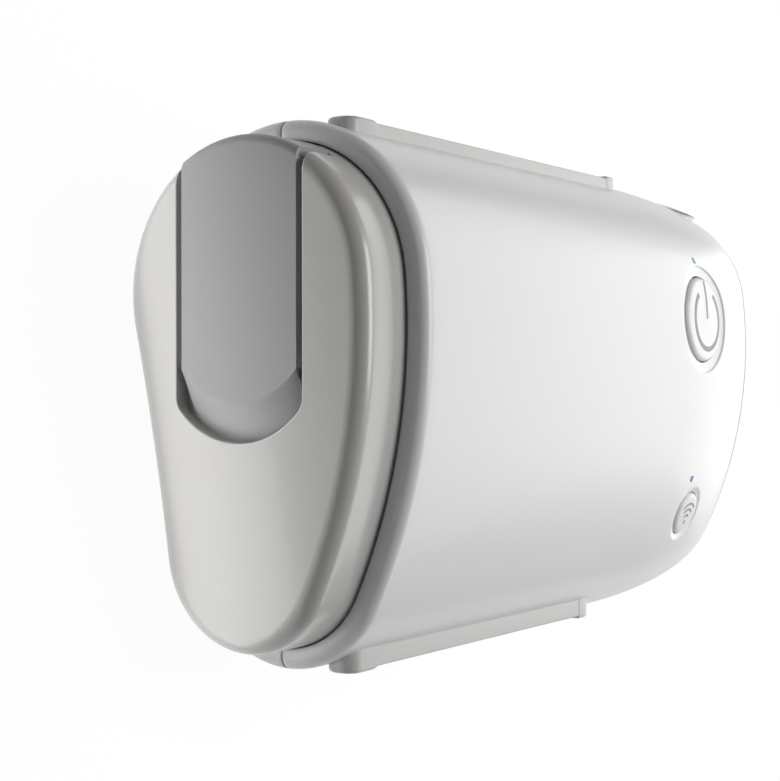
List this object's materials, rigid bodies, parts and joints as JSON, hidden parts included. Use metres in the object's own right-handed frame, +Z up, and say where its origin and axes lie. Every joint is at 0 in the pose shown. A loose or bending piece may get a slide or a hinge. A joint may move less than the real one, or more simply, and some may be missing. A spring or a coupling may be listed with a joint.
{
  "type": "cpap machine",
  "caption": "Small travel CPAP machine: teardrop white housing, grey inlet cap with hinged filter cover, power and pairing buttons, and an inner blower feeding an outlet socket.",
  "frame": {"origin": "middle of the bounding box's bottom face, with the part lying on its feet", "axes": "+X along the length, from the inlet cap to the air outlet; +Y towards the thick side; +Z up, out of the control face"},
  "size_m": [0.136, 0.084, 0.0527],
  "materials": {
    "white_shell": "satin",
    "cap_grey": "satin",
    "cover_grey": "satin",
    "rail_grey": "matte",
    "black_rubber": "matte",
    "silicone": "matte",
    "green_light": "gloss",
    "blue_light": "gloss",
    "dark_plastic": "satin",
    "steel": "satin",
    "foam": "matte",
    "felt": "matte",
    "light_plastic": "satin",
    "magnet": "satin",
    "copper": "satin",
    "contact_metal": "satin",
    "motor_can": "satin",
    "board_green": "satin",
    "chip_black": "satin",
    "tin_metal": "satin",
    "capacitor_sleeve": "gloss",
    "led_white": "gloss",
    "flex_amber": "gloss"
  },
  "bodies": {
    "housing": {"front_shell": "white_shell", "rear_shell": "white_shell", "inlet_cap": "cap_grey", "cap_gasket": "black_rubber", "cover_pin": "steel", "air_filter": "felt", "filter_grille": "cover_grey", "power_light": "green_light", "pairing_light": "blue_light", "thick_side_rail": "rail_grey", "thin_side_rail": "rail_grey", "feet": "black_rubber", "case_screws": "steel", "outlet_panel": "cover_grey", "outlet_socket": "dark_plastic", "outlet_seal": "silicone", "dc_inlet": "dark_plastic", "dc_contact": "contact_metal", "inlet_muffler": "foam", "air_chamber": "dark_plastic", "chamber_lid": "dark_plastic", "blower_base": "light_plastic", "blower_lid": "light_plastic", "stator_core": "magnet", "stator_windings": "copper", "motor_housing": "motor_can", "upper_bearing": "steel", "lower_bearing": "steel", "blower_mounts": "black_rubber", "outlet_bellows": "silicone", "flow_tube": "light_plastic", "flow_sensor": "chip_black", "pressure_sensor": "chip_black", "main_board": "board_green", "processor": "chip_black", "radio_module": "tin_metal", "capacitors": "capacitor_sleeve", "board_connector": "light_plastic", "power_switch": "tin_metal", "pairing_board": "board_green", "pairing_switch": "tin_metal", "status_leds": "led_white", "flex_cable": "flex_amber"},
    "cover": {"filter_cover": "cover_grey"},
    "power_key": {"power_button": "white_shell"},
    "pairing_key": {"pairing_button": "white_shell"},
    "rotor": {"impeller": "light_plastic", "motor_shaft": "steel", "rotor_magnet": "magnet"}
  },
  "joints": [
    {"name": "cover_hinge", "type": "hinge", "parent": "housing", "child": "cover", "pos_m": [-0.0607, 0.03575, 0.03048], "axis": [0, 0.1921, -0.9814], "range_deg": [0, 40]},
    {"name": "power_press", "type": "slide", "parent": "housing", "child": "power_key", "axis": [-0.0325, 0.1463, -0.9887], "range_m": [0, 0.0006], "stiffness_N_per_m": 1200},
    {"name": "pairing_press", "type": "slide", "parent": "housing", "child": "pairing_key", "axis": [-0.0532, 0.534, -0.8438], "range_m": [0, 0.0006], "stiffness_N_per_m": 1000},
    {"name": "rotor_spin", "type": "hinge", "parent": "housing", "child": "rotor", "pos_m": [-0.008, 0.00042, 0.02356], "axis": [0, 0.1921, -0.9814], "continuous": true}
  ]
}
